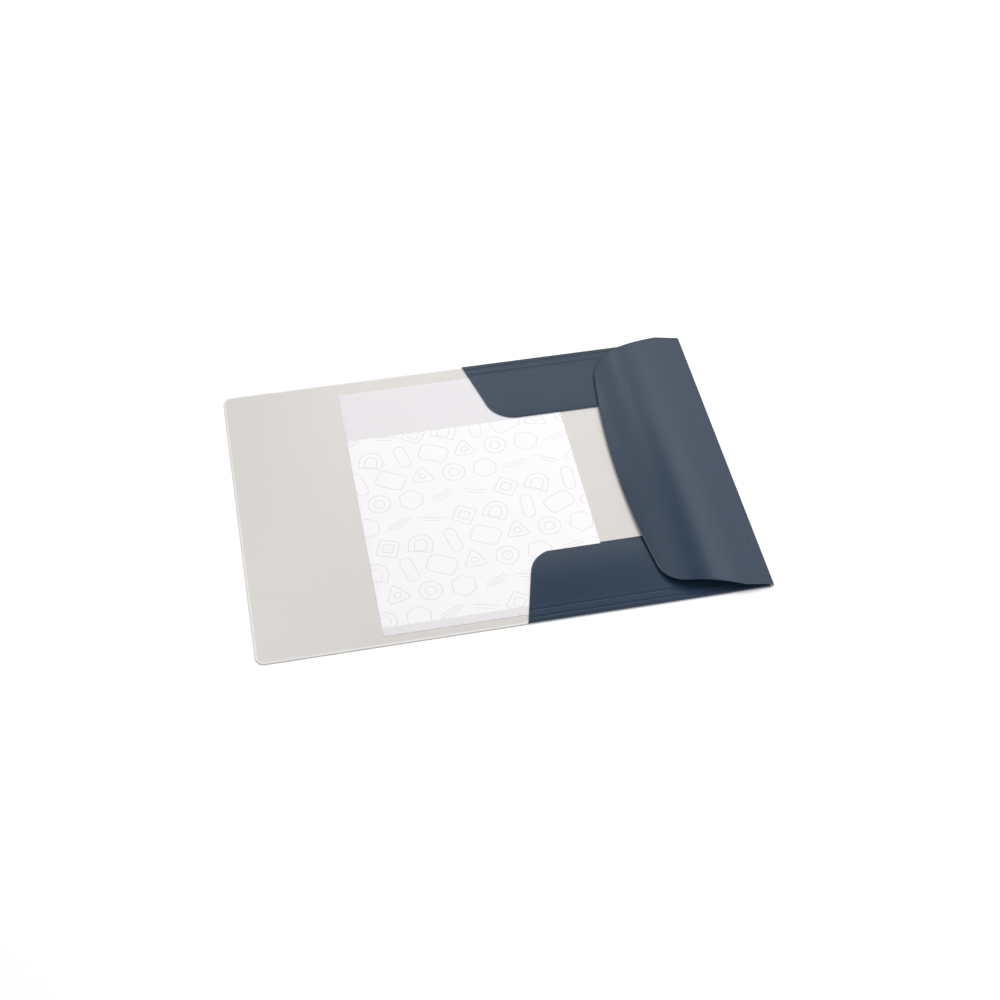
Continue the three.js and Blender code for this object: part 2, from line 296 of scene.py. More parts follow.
table_material = bpy.data.materials.new("table_top")
table_material.use_nodes = True
top = table_material.node_tree
top.nodes["Principled BSDF"].inputs["Roughness"].default_value = TABLE_ROUGHNESS
top.nodes["Principled BSDF"].inputs["Specular IOR Level"].default_value = 0.0
table_colour = add_node(top, "ShaderNodeMix", data_type="RGBA")
table_colour.inputs["A"].default_value = (TABLE_BOUNCE, TABLE_BOUNCE, TABLE_BOUNCE, 1)
table_colour.inputs["B"].default_value = (TABLE_SEEN, TABLE_SEEN, TABLE_SEEN, 1)
top.links.new(seen_directly(top), table_colour.inputs["Factor"])
top.links.new(table_colour.outputs["Result"], top.nodes["Principled BSDF"].inputs["Base Color"])
top.nodes["Principled BSDF"].inputs["Emission Color"].default_value = (1, 1, 1, 1)
glow_share = add_node(top, "ShaderNodeMath", operation="MULTIPLY")
glow_share.inputs[1].default_value = TABLE_GLOW
top.links.new(seen_directly(top), glow_share.inputs[0])
top.links.new(glow_share.outputs[0], top.nodes["Principled BSDF"].inputs["Emission Strength"])
stage_plane("table", (-TABLE_HALF, TABLE_HALF, -TABLE_HALF, TABLE_HALF), 0, table_material)
print("table", 2 * TABLE_HALF, "m wide")

# %% [markdown]
# Every surface starts from the Principled shader. Plain colour and roughness would look like
# paint, so three small helpers add what a real surface has: a colour that clouds softly from
# place to place, a roughness that does the same, and a grain that catches the light. The
# patterns use object coordinates, which are metres here, so a size in millimetres becomes a
# noise scale by division. Noise rarely leaves the range from NOISE_LOW to NOISE_HIGH, so that is
# what gets spread out.

# %% Material helpers
NOISE_LOW = 0.3
NOISE_HIGH = 0.7


def new_material(name, colour, roughness):
    material = bpy.data.materials.new(name)
    material.use_nodes = True
    shader = material.node_tree.nodes["Principled BSDF"]
    shader.inputs["Base Color"].default_value = (*linear(colour), 1)
    shader.inputs["Roughness"].default_value = roughness
    return material


def noise(tree, size, detail=2.0, stretch=(1, 1, 1)):
    """A noise whose lumps are about size millimetres wide, or longer where stretch is below 1"""
    place = add_node(tree, "ShaderNodeTexCoord")
    scale = add_node(tree, "ShaderNodeMapping")
    scale.inputs["Scale"].default_value = stretch
    lumps = add_node(tree, "ShaderNodeTexNoise")
    lumps.inputs["Scale"].default_value = 1 / (size * MM)
    lumps.inputs["Detail"].default_value = detail
    tree.links.new(place.outputs["Object"], scale.inputs["Vector"])
    tree.links.new(scale.outputs["Vector"], lumps.inputs["Vector"])
    return lumps.outputs["Fac"]


def cloud_colour(material, colour, spread, size):
    """Lets the colour drift by a share of itself over patches of a size"""
    tree = material.node_tree
    base = linear(colour)
    blend = add_node(tree, "ShaderNodeMix", data_type="RGBA")
    blend.inputs["A"].default_value = (*[c * (1 - spread) for c in base], 1)
    blend.inputs["B"].default_value = (*[min(1, c * (1 + spread)) for c in base], 1)
    tree.links.new(noise(tree, size), blend.inputs["Factor"])
    tree.links.new(blend.outputs["Result"], tree.nodes["Principled BSDF"].inputs["Base Color"])


def cloud_roughness(material, low, high, size):
    tree = material.node_tree
    levels = add_node(tree, "ShaderNodeMapRange")
    levels.inputs["From Min"].default_value = NOISE_LOW
    levels.inputs["From Max"].default_value = NOISE_HIGH
    levels.inputs["To Min"].default_value = low
    levels.inputs["To Max"].default_value = high
    tree.links.new(noise(tree, size), levels.inputs["Value"])
    tree.links.new(levels.outputs["Result"], tree.nodes["Principled BSDF"].inputs["Roughness"])


def grain(material, layers):
    """Stacks bump layers, each a (size, height, detail) in millimetres"""
    tree = material.node_tree
    normal = None
    for size, height, detail in layers:
        bump = add_node(tree, "ShaderNodeBump")
        bump.inputs["Distance"].default_value = height * MM
        tree.links.new(noise(tree, size, detail), bump.inputs["Height"])
        if normal:
            tree.links.new(normal, bump.inputs["Normal"])
        normal = bump.outputs["Normal"]
    tree.links.new(normal, tree.nodes["Principled BSDF"].inputs["Normal"])


print("material helpers ready")

# %% [markdown]
# The sheet is extruded in two layers. Both have the fine sand texture of the roller, which makes
# them satin, and a very slight waviness, which keeps a streak from having a ruler-straight edge.
# The outer layer is slate blue and the inner one pale grey. The slate's cut edge is a touch lighter
# than its face. The pale edges, and a border along them, get a lighter pale that is painted light:
# it stands in for light that leaks in at the edge. So pale edges and slate edges have a material
# of their own.

# %% Sheet materials
SLATE = (33, 53, 74)
PALE = (219, 215, 211)
# The lighter pale on the next line is painted light for the pale edges and the border along them
PALE_RIM_LIT = (238, 236, 233)
SLATE_CUT = (92, 103, 115)
SLATE_ROUGHNESS = (0.29, 0.33)
PALE_ROUGHNESS = (0.30, 0.34)
SLATE_CUT_ROUGHNESS = (0.4, 0.5)
SHEET_GRAIN = ((0.35, 0.006, 2), (22, 0.02, 1))
COLOUR_PATCH = 60
SHINE_PATCH = 35
PLASTIC_IOR = 1.49


def sheet_material(name, colour, roughness, spread):
    material = new_material(name, colour, roughness[0])
    material.node_tree.nodes["Principled BSDF"].inputs["IOR"].default_value = PLASTIC_IOR
    cloud_colour(material, colour, spread, COLOUR_PATCH)
    cloud_roughness(material, *roughness, SHINE_PATCH)
    grain(material, SHEET_GRAIN)
    return material


slate_face = sheet_material("slate_face", SLATE, SLATE_ROUGHNESS, 0.03)
pale_face = sheet_material("pale_face", PALE, PALE_ROUGHNESS, 0.008)
pale_rim_lit = sheet_material("pale_rim_lit", PALE_RIM_LIT, PALE_ROUGHNESS, 0.008)
slate_cut = sheet_material("slate_cut", SLATE_CUT, SLATE_CUT_ROUGHNESS, 0.02)
SHEET_MATERIALS = (slate_face, pale_face, pale_rim_lit, slate_cut)
OUTER, INNER, PALE_LIT_EDGE, DARK_EDGE = range(4)
print(len(SHEET_MATERIALS), "sheet materials")

# %% [markdown]
# A cutting pattern is a closed outline. Its straight runs need points along them and its corners
# need arcs, so there is a helper for each. A Blender curve could hold the outline too, but plain
# lists of points are easier to join, mirror and measure.

# %% Outline helpers
def arc(centre, radius, start, end, steps=10):
    """Points on a circle, from one angle to another in degrees"""
    angles = [math.radians(start + (end - start) * i / steps) for i in range(steps + 1)]
    return [(centre[0] + radius * math.cos(a), centre[1] + radius * math.sin(a)) for a in angles]


def divided(outline, spacing):
    """The closed outline with extra points, so that no side is longer than spacing"""
    result = []
    for i, start in enumerate(outline):
        end = outline[(i + 1) % len(outline)]
        pieces = max(1, math.ceil(math.dist(start, end) / spacing))
        for k in range(pieces):
            share = k / pieces
            result.append(tuple(a + (b - a) * share for a, b in zip(start, end)))
    return result


print("quarter circle:", [tuple(round(v, 2) for v in p) for p in arc((0, 0), 5, 0, 90, 2)])

# %% [markdown]
# Another helper moves an outline inwards, as an inset tool does. The rounded rim and the pale
# band along it get their place that way. Edges that only meet the next piece, here called seams,
# don't move. Scaling the outline would be simpler, but it would make the border uneven.

# %% Move an outline inwards
SEAM_TOLERANCE = 0.01
NEARLY_STRAIGHT = 0.02


def on_seam(start, end, seams):
    return any(
        abs(start[0] - seam) < SEAM_TOLERANCE and abs(end[0] - seam) < SEAM_TOLERANCE
        for seam in seams
    )


def moved(outline, distance, seams):
    """Moves each side of an anticlockwise outline inwards by distance, and leaves the seams"""
    points = np.array(outline, float)
    count = len(points)
    sides = np.roll(points, -1, axis=0) - points
    sides /= np.linalg.norm(sides, axis=1)[:, None]
    inward = np.stack([-sides[:, 1], sides[:, 0]], axis=1)
    steps = np.array([
        0 if on_seam(outline[i], outline[(i + 1) % count], seams) else distance
        for i in range(count)
    ])
    result = []
    for i in range(count):
        before, after = inward[i - 1], inward[i]
        cross = before[0] * after[1] - before[1] * after[0]
        if abs(cross) < NEARLY_STRAIGHT:
            shift = (before * steps[i - 1] + after * steps[i]) / 2
        else:
            shift = np.linalg.solve(np.array([before, after]), np.array([steps[i - 1], steps[i]]))
        result.append(tuple(points[i] + shift))
    return result


square_test = moved([(0, 0), (10, 0), (10, 10), (0, 10)], 1, seams=(0,))
print("inset square:", [tuple(round(float(v), 2) for v in p) for p in square_test])

# %% [markdown]
# Bending needs points all over a pattern and not only along its outline. They come from a grid
# with even steps, which also stops at every line that matters, such as a crease. Subdividing a
# plane would give even steps too, but not the stops. Points outside the outline are dropped by
# counting how often a line to the side crosses it.

# %% Grid of points
GRID = 4.0


def ticks(low, high, spacing, stops):
    """Even steps from low to high that also stop at the given places"""
    marks = sorted({low, high, *[s for s in stops if low < s < high]})
    result = []
    for start, end in zip(marks, marks[1:]):
        count = max(1, round((end - start) / spacing))
        result += [start + (end - start) * i / count for i in range(count)]
    return result + [high]


def inside(points, outline):
    """Which points lie inside a closed outline"""
    x, y = points[:, 0], points[:, 1]
    result = np.zeros(len(points), bool)
    corners = np.array(outline)
    for (x1, y1), (x2, y2) in zip(corners, np.roll(corners, -1, axis=0)):
        if y1 != y2:
            crosses = ((y1 > y) != (y2 > y)) & (x < (x2 - x1) * (y - y1) / (y2 - y1) + x1)
            result ^= crosses
    return result


print("steps with a stop at 5:", ticks(0, 12, GRID, (5,)))

# %% [markdown]
# The pattern is filled with triangles by Blender's constrained Delaunay routine. It keeps every
# line that it is given, so a crease can have its own row of points. One many-sided face or an
# edge fill would leave long slivers that shade badly once the sheet is bent.

# %% Fill a pattern with triangles
TOLERANCE = 1e-5


def fill(loops, u_lines=(), v_lines=(), shapes=(), holes=(), spacing=GRID):
    """Triangles inside the first loop, and for each the numbers of the loops that hold it"""
    outer = np.array(loops[0])
    low, high = outer.min(axis=0), outer.max(axis=0)
    us = ticks(low[0], high[0], spacing, u_lines)
    vs = ticks(low[1], high[1], spacing, v_lines)
    grid = np.array([(u, v) for u in us for v in vs])
    # Grid points right beside the rim would only make slivers there
    grid = grid[inside(grid, moved(loops[-1], min(spacing, 2) / 2, ()))]
    points = []
    faces = []
    for loop in [*loops, *shapes, *holes]:
        faces.append(list(range(len(points), len(points) + len(loop))))
        points += [tuple(p) for p in loop]
    lines = [((u, low[1] - 1), (u, high[1] + 1)) for u in u_lines]
    lines += [((low[0] - 1, v), (high[0] + 1, v)) for v in v_lines]
    edges = []
    for line in lines:
        edges.append((len(points), len(points) + 1))
        points += line
    points += [tuple(p) for p in grid]
    corners, _, triangles, _, _, origins = delaunay_2d_cdt(
        [Vector(p) for p in points], edges, faces, 0, TOLERANCE
    )
    first_hole = len(loops) + len(shapes)
    kept = [
        (face, held) for face, held in zip(triangles, origins)
        if 0 in held and max(held) < first_hole
    ]
    used = sorted({i for face, _ in kept for i in face})
    number = {old: new for new, old in enumerate(used)}
    kept_faces = [tuple(number[i] for i in face) for face, _ in kept]
    return np.array([tuple(corners[i]) for i in used]), kept_faces, [held for _, held in kept]


test_outline = divided([(0, 0), (30, 0), (30, 20), (0, 20)], GRID)
flat_points, flat_faces, _ = fill([test_outline], u_lines=(12,))
print(f"test pattern: {len(flat_points)} points, {len(flat_faces)} triangles")

# %% [markdown]
# A profile is the line that a cross-section of the sheet's outer face follows. It turns a
# distance along the flat pattern into a place in space, and it knows which way the inner face
# lies. Blender's Curve modifier bends a mesh in a similar way, but it stretches thick parts and
# needs the mesh on one axis, so a few lines of numpy are simpler and exact.

# %% Profiles
class Profile:
    """A bent line: points along it, and at each the direction from the outer to the inner face"""

    def __init__(self, points):
        line = np.array(points, float)
        keep = np.concatenate([[True], np.linalg.norm(np.diff(line, axis=0), axis=1) > 1e-6])
        self.points = line[keep]
        steps = np.diff(self.points, axis=0)
        lengths = np.linalg.norm(steps, axis=1)
        self.distance = np.concatenate([[0], np.cumsum(lengths)])
        tangents = steps / lengths[:, None]
        middles = (tangents[1:] + tangents[:-1]) / 2
        at_points = np.vstack([tangents[:1], middles, tangents[-1:]])
        at_points /= np.linalg.norm(at_points, axis=1)[:, None]
        self.inward = np.stack([-at_points[:, 1], at_points[:, 0]], axis=1)

    def place(self, distance, depth):
        run, rise, across, up = (
            np.interp(distance, self.distance, values)
            for values in (*self.points.T, *self.inward.T)
        )
        size = np.hypot(across, up)
        return run + depth * across / size, rise + depth * up / size

    @property
    def length(self):
        return self.distance[-1]


test_fold = Profile(arc((0, 1), 1, -90, 90))
print(f"half turn of radius 1: {test_fold.length:.3f} long")

# %% [markdown]
# A cut edge of plastic is never quite sharp: it catches a thin line of light. So each rim of a
# pattern is followed as a closed loop, and rings of points round it off. A Bevel modifier would
# do that too, but it can't tell a rim from a crease.

# %% Rims
RIM_STEPS = 3


def rims(faces):
    """The rims of a triangulated pattern as closed loops of point numbers"""
    sides = {(a, b) for face in faces for a, b in zip(face, face[1:] + face[:1])}
    follow = {a: b for a, b in sorted(sides) if (b, a) not in sides}
    loops = []
    while follow:
        loop = [next(iter(follow))]
        while follow[loop[-1]] != loop[0]:
            loop.append(follow[loop[-1]])
        for point in loop:
            del follow[point]
        loops.append(loop)
    return loops


def rim_rings(full, radius):
    """(depth, outward distance) of each ring, from the outer face's rim to the inner one's"""
    angles = [math.pi / 2 * i / RIM_STEPS for i in range(1, RIM_STEPS + 1)]
    upper = [(radius * (1 - math.cos(a)), radius * math.sin(a)) for a in angles]
    return upper + [(full - depth, reach) for depth, reach in reversed(upper)]


print("rim rings:", [(round(d, 2), round(r, 2)) for d, r in rim_rings(thickness, 0.2)])

# %% [markdown]
# Points and faces become a Blender object here, and millimetres become metres. All faces are
# shaded smooth, and only the given edges are marked sharp. Shading by angle would have to guess
# them.

# %% Mesh object
def build_object(name, vertices, faces, slots, materials, sharp=()):
    mesh = bpy.data.meshes.new(name)
    mesh.from_pydata([tuple(p * MM) for p in vertices], [], faces)
    for material in materials:
        mesh.materials.append(material)
    mesh.polygons.foreach_set("material_index", slots)
    mesh.polygons.foreach_set("use_smooth", [True] * len(faces))
    keys = {frozenset(pair) for pair in sharp}
    for edge in mesh.edges:
        edge.use_edge_sharp = frozenset(edge.vertices) in keys
    obj = bpy.data.objects.new(name, mesh)
    bpy.context.scene.collection.objects.link(obj)
    print(f"{name}: {len(mesh.vertices)} points, {len(mesh.polygons)} faces")
    return obj


# %% [markdown]
# This is the heart of the scene: it turns a filled pattern into a closed sheet. The pattern
# becomes the outer face, a copy at full depth becomes the inner face, and the rim's rings join
# them. The Solidify modifier would do nearly the same, but here every triangle gets its own
# material, because slate, pale and cut edge meet along the rim. The seams stay sharp, so that no
# line shows where two pieces meet.

# %% Close a pattern into a sheet
def closed_sheet(name, pattern, slots, place, full, radius, seams, rim_slot, materials):
    """slots holds each triangle's outer and inner material, rim_slot(u, v, ring) the rim's"""
    points, faces = pattern
    count = len(points)
    rings = rim_rings(full, radius)
    flat = [points, points]
    depths = [np.zeros(count), np.full(count, full)]
    all_faces = faces + [tuple(i + count for i in reversed(face)) for face in faces]
    all_slots = [outer for outer, _ in slots] + [inner for _, inner in slots]
    sharp = []
    total = 2 * count
    for loop in rims(faces):
        edge = points[loop]
        outward = edge - np.array(moved([tuple(p) for p in edge], 1.0, seams))
        rows = [list(loop)]
        for depth, reach in rings:
            rows.append(list(range(total, total + len(loop))))
            flat.append(edge + outward * reach)
            depths.append(np.full(len(loop), depth))
            total += len(loop)
        rows.append([i + count for i in loop])
        for k, (upper, lower) in enumerate(zip(rows, rows[1:])):
            for i in range(len(loop)):
                j = (i + 1) % len(loop)
                all_faces.append((upper[j], upper[i], lower[i], lower[j]))
                all_slots.append(rim_slot(*edge[i], k))
                if on_seam(edge[i], edge[j], seams):
                    sharp += [(upper[i], upper[j]), (lower[i], lower[j])]
    flat = np.vstack(flat)
    vertices = np.stack(place(flat[:, 0], flat[:, 1], np.concatenate(depths)), axis=1)
    # The outer face looks away from depth, so the pattern's anticlockwise faces are turned over
    all_faces = [tuple(reversed(face)) for face in all_faces]
    return build_object(name, vertices, all_faces, all_slots, materials, sharp)


print(f"a sheet of {thickness:.2f} mm has", 2 * RIM_STEPS, "rings along its rim")

# %% [markdown]
# The three pieces of the folder share their rim: a small rounding all around, and on the pale
# face a slightly lighter border, where light leaks in from the edge. Real light scattering
# inside thin plastic is slow to render and hardly shows at this size, so a lighter material
# stands in for it.

# %% A piece of the folder's sheet
RIM_RADIUS = 0.2
PALE_LIT_BORDER = 1.5


def folder_piece(name, outline, place, seams, u_lines, v_lines=(), holes=(), pale_until=-math.inf):
    """A closed piece of the folder's sheet, with a pale cut edge up to a place along it"""
    outline = divided(outline, GRID)
    loops = [moved(outline, RIM_RADIUS + inset, seams) for inset in (0, PALE_LIT_BORDER)]
    openings = [moved(hole, -RIM_RADIUS, ()) for hole in holes]
    points, faces, held = fill(loops, u_lines, v_lines, holes=openings)
    # The border of the inner face along the rim gets the lighter pale, which is painted edge light
    slots = [(OUTER, INNER if 1 in numbers else PALE_LIT_EDGE) for numbers in held]

    def rim_slot(u, v, ring):
        if ring == 0:
            return OUTER
        # The pale rim rings get the lighter pale too, which is painted edge light
        return PALE_LIT_EDGE if u < pale_until or ring == 2 * RIM_STEPS else DARK_EDGE

    return closed_sheet(
        name, (points, faces), slots, place, thickness, RIM_RADIUS, seams, rim_slot, SHEET_MATERIALS
    )


def flat_place(u, v, depth):
    return u, v, sheet_under + depth


print(f"pale border {PALE_LIT_BORDER} mm")

# %% [markdown]
# A crease is pressed with a blunt blade: the outer face goes down in a narrow groove and the
# inner face stands up by as much. A normal map could fake it, but the groove is seen at a low
# angle, where only real shape holds. In the sheet builder it is one more depth, added to both
# faces.

# %% Crease relief
GROOVE_DEPTH = 0.25
GROOVE_HALF_WIDTH = 0.55
BEAD_HEIGHT = 0.08
BEAD_OFFSET = 2.6
BEAD_HALF_WIDTH = 0.9
ROW_OFFSETS = (-1.2, -0.8, -0.5, -0.25, 0, 0.25, 0.5, 0.8, 1.2, 1.8, 2.2, 2.6, 3.0, 3.4, 4.0)


def dent(distance, centre, half_width):
    return np.exp(-(((distance - centre) / half_width) ** 2))


def crease_relief(distance, creases):
    """How far the sheet is pressed in at a distance from the fold, with a low bead further on"""
    total = np.zeros_like(distance)
    for crease in creases:
        total += GROOVE_DEPTH * dent(distance, crease, GROOVE_HALF_WIDTH)
        total -= BEAD_HEIGHT * dent(distance, crease + BEAD_OFFSET, BEAD_HALF_WIDTH)
    return total


def crease_lines(creases):
    """Where the pattern needs rows of points to show each groove and its bead"""
    return [crease + offset for crease in creases for offset in ROW_OFFSETS]


print("groove depth in the middle:", crease_relief(np.array([5.0]), (5,))[0].round(3), "mm")

# %% [markdown]
# The front cover is the plainest part: a flat panel with two rounded corners at its free edge.
# It could end at its crease, but then the fold would open a gap as the cover moves. So the same
# mesh goes on past the crease to the middle of the spine, with rows of points at the crease.

# %% Front cover
COVER_CORNER_RADIUS = 8
BEND_HALF_WIDTH = 0.9
BEND_LINES = [BEND_HALF_WIDTH * k / 4 for k in range(-4, 5)]

corner_x = left_edge + COVER_CORNER_RADIUS
corner_y = half_height - COVER_CORNER_RADIUS
front_outline = [
    (spine_middle, -half_height),
    (spine_middle, half_height),
    *arc((corner_x, corner_y), COVER_CORNER_RADIUS, 90, 180),
    *arc((corner_x, -corner_y), COVER_CORNER_RADIUS, 180, 270),
]
front_sheet = folder_piece(
    "front_cover_sheet",
    front_outline,
    flat_place,
    seams=(spine_middle,),
    u_lines=[cover_crease.x + line for line in BEND_LINES],
    pale_until=math.inf,
)

# %% [markdown]
# The back half is cut with both end flaps on it. On the flat pattern the flaps stick out beyond
# the far and near edges, with tapered sides and rounded corners. The profile then carries them
# round a tight fold and back over the cover. A folded flap never lies quite flat: it rises a
# little from its fold and dips again at its free edge, and that soft arch is what gives it its
# shading. The near flap has been folded harder, so it dips more than the far one. A Bend
# modifier would round the whole flap evenly, which is not how a creased sheet behaves.

# %% End flap profile
END_FLAP_SPACE = 0.7
END_FLAP_DEPTH = 78.3
FOLD_RADIUS = thickness + END_FLAP_SPACE / 2
FLAP_CREASES = (5.0, 12.8)
FOLD_STEPS = 16
PROFILE_STEP = 0.5
ARCH_CREST = 42
NEAR_ARCH = (0.6, 1.8)
FAR_ARCH = (0.5, 0.5)

fold_start = half_height - FOLD_RADIUS
fold_centre = (fold_start, sheet_under + FOLD_RADIUS)
flap_top = sheet_under + 2 * FOLD_RADIUS


def smooth(share):
    share = np.clip(share, 0, 1)
    return share * share * (3 - 2 * share)


def arch(distance, rise, dip):
    """Height of the flap's outer face above the fold's top, at a distance from the fold"""
    falling = np.clip((distance - ARCH_CREST) / (END_FLAP_DEPTH - ARCH_CREST), 0, 1)
    return float(rise * smooth(distance / ARCH_CREST) - dip * falling ** 2)


def end_flap_profile(rise, dip):
    flap_run = np.arange(FOLD_RADIUS, END_FLAP_DEPTH + 2 * PROFILE_STEP, PROFILE_STEP)[1:]
    return Profile([
        (0, sheet_under),
        *arc(fold_centre, FOLD_RADIUS, -90, 90, FOLD_STEPS),
        *[(half_height - d, flap_top + arch(d - FOLD_RADIUS, rise, dip)) for d in flap_run],
    ])


near_profile = end_flap_profile(*NEAR_ARCH)
far_profile = end_flap_profile(*FAR_ARCH)
fold_length = math.pi * FOLD_RADIUS
print(f"flap top {flap_top:.2f} mm, near flap's edge {near_profile.points[-1][1]:.2f} mm")

# %% [markdown]
# The flap's outline follows its real sizes: the sides draw in by about 15 degrees, and the free
# corners are arcs that touch both the side and the free edge. At the crease next to the spine a
# short notch frees the flap, as a die would cut it. The outline could be traced from a picture,
# but drawn from sizes it stays exact, and the near half is simply the far one mirrored.

# %% Outline of the back cover
FLAP_TAPER = 14.7
END_FLAP_CORNER = 29
END_FLAP_CORNER_STEPS = 14
END_FLAP_ROOT = 1.5
END_FLAP_TO_LIP = 2.4
ROOT_FLARE = 0.6
CREASE_GAP = 0.15
NOTCH_OFFSET = 0.05
NOTCH_WIDTH = 0.3
LIP_BEND_RADIUS = 0.9

bend_x = right_edge - LIP_BEND_RADIUS
flap_left = spine_crease.x + CREASE_GAP
flap_right = right_edge - thickness - END_FLAP_TO_LIP
notch_right = flap_left - NOTCH_OFFSET
notch_left = notch_right - NOTCH_WIDTH
taper = math.tan(math.radians(FLAP_TAPER))


def flat_v(distance):
    """Place on the flat pattern of a point at a distance from the fold's outer edge"""
    return fold_start + fold_length + distance - FOLD_RADIUS


def flap_corner(side):
    """The free corner's arc on the flat pattern. side is 1 on the right and -1 on the left"""
    edge = flap_right if side > 0 else flap_left
    reach = END_FLAP_DEPTH - END_FLAP_CORNER
    bow = END_FLAP_CORNER / math.cos(math.radians(FLAP_TAPER))
    centre_x = edge - side * (reach * taper + bow)
    centre = (centre_x, flat_v(reach))
    start, end = (FLAP_TAPER, 90) if side > 0 else (90, 180 - FLAP_TAPER)
    return arc(centre, END_FLAP_CORNER, start, end, END_FLAP_CORNER_STEPS)


far_half = [
    (bend_x, fold_start),
    (flap_right + ROOT_FLARE, fold_start),
    (flap_right, flat_v(0) - END_FLAP_ROOT),
    *flap_corner(1),
    *flap_corner(-1),
    (flap_left, flat_v(0) - END_FLAP_ROOT),
    (notch_right, fold_start),
    (notch_left, fold_start),
    (notch_left, half_height),
    (spine_middle, half_height),
]
back_outline = far_half + [(u, -v) for u, v in reversed(far_half)]
print(f"flat pattern of the back cover: {2 * flat_v(END_FLAP_DEPTH):.1f} mm high")

# %% [markdown]
# Two slots let the ends of the elastic band through to the inside, and each is a little larger
# than the band. A boolean cut after bending would leave ragged triangles around them, so they
# are left open in the pattern, where they are plain rectangles.

# %% Slots for the band
BAND_WIDTH = 6
BAND_THICKNESS = 0.6
SLOT_CLEARANCE = 0.35

slot_half = Vector((BAND_WIDTH / 2 + SLOT_CLEARANCE, BAND_THICKNESS / 2 + SLOT_CLEARANCE))
slot_centre = Vector(((band_low.x + band_high.x) / 2, band_high.y - BAND_THICKNESS / 2))
band_slots = [
    [
        (slot_centre.x + i * slot_half.x, side * slot_centre.y + j * slot_half.y)
        for i, j in ((-1, -1), (1, -1), (1, 1), (-1, 1))
    ]
    for side in (-1, 1)
]
print(f"slots at x {slot_centre.x:.1f} and y {slot_centre.y:.1f} mm on both sides")

# %% [markdown]
# Now the pattern is wrapped. Beyond the notch the profile takes over, so that the flap turns and
# the strip beside it stays flat. The near and far profiles differ only on the flaps, and the
# cover between them is the same in both. The fold and the creases get rows of points of their
# own.

# %% Back cover with its end flaps
FOLD_ROWS = 12
GROOVES_FROM_FOLD = 1
flap_limit = notch_right - SEAM_TOLERANCE


def back_place(u, v, depth):
    across = np.abs(v)
    pressed = crease_relief(across - flat_v(0), FLAP_CREASES)
    pressed = np.where(across > flat_v(GROOVES_FROM_FOLD), pressed, 0)
    on_flap = u > flap_limit
    near = near_profile.place(across, depth + pressed)
    far = far_profile.place(across, depth + pressed)
    run, rise = (np.where(v < 0, a, b) for a, b in zip(near, far))
    y = np.where(on_flap, np.sign(v) * run, v)
    z = np.where(on_flap, rise, sheet_under + depth)
    return u, y, z


fold_lines = [fold_start + fold_length * k / FOLD_ROWS for k in range(FOLD_ROWS + 1)]
row_lines = fold_lines + [flat_v(0) + line for line in crease_lines(FLAP_CREASES)]
back_sheet = folder_piece(
    "back_cover_sheet",
    back_outline,
    back_place,
    seams=(spine_middle, bend_x),
    u_lines=[spine_crease.x + line for line in BEND_LINES],
    v_lines=sorted(row_lines + [-line for line in row_lines]),
    holes=band_slots,
    pale_until=flap_limit,
)

# %% [markdown]
# The side flap runs from its crease back over the cover in a springy bulge. Its cross-section is
# drawn with two Bezier curves, one up to the crest and one down to the free edge, which is what
# a curve editor would give and what a bent sheet really looks like. A simple arc can't do it,
# because the flap leaves its crease almost straight. The flap is a little uneven, as a used one
# is: at the far end its crest lies a little further out and its free edge stands higher.

# %% Curve of the bulge
BULGE_START_SLOPE = 0.2
BULGE_END_SLOPE = 0.11
NEAR_CREST = (58, 9.2)
FAR_CREST = (61, 8.9)
BULGE_STEPS = (50, 60)

side_flap_width = side_crease.x - flap_low.x
bulge_rise = flap_high.z - side_crease.z


def bezier(a, b, c, d, steps):
    shares = np.linspace(0, 1, steps + 1)[:, None]
    a, b, c, d = (np.array(p, float) for p in (a, b, c, d))
    rest = 1 - shares
    return rest ** 3 * a + 3 * rest ** 2 * shares * b + 3 * rest * shares ** 2 * c + shares ** 3 * d


def bulge_points(crest, drop):
    """The flap's outer face as (x, z), from its crease over the crest to its free edge"""
    rising, falling = crest / 3, (side_flap_width - crest) / 3
    edge = bulge_rise - drop
    up = bezier(
        (0, 0),
        (rising, BULGE_START_SLOPE * rising),
        (2 * rising, bulge_rise),
        (3 * rising, bulge_rise),
        BULGE_STEPS[0],
    )
    down = bezier(
        (crest, bulge_rise),
        (crest + falling, bulge_rise),
        (crest + 2 * falling, edge + BULGE_END_SLOPE * falling),
        (side_flap_width, edge),
        BULGE_STEPS[1],
    )
    run = np.vstack([up, down[1:]])
    return [(side_crease.x - d, side_crease.z + h) for d, h in run]


print(f"bulge {bulge_rise:.1f} mm high over a flap {side_flap_width:.1f} mm wide")

# %% [markdown]
# Before the bulge the sheet has to get up there. It starts at the bottom of the back cover's
# free edge, turns up into a low lip, leans in and turns again at the crease. Both turns are arcs
# that touch the lines beside them, because a profile with a sharp corner would pinch the inner
# face.

# %% Side flap profile
LIP_LEAN = 16
LIP_STEPS = 12
HINGE_ROUND = 0.75
HINGE_STEPS = 10
JOIN_GAP = 0.1

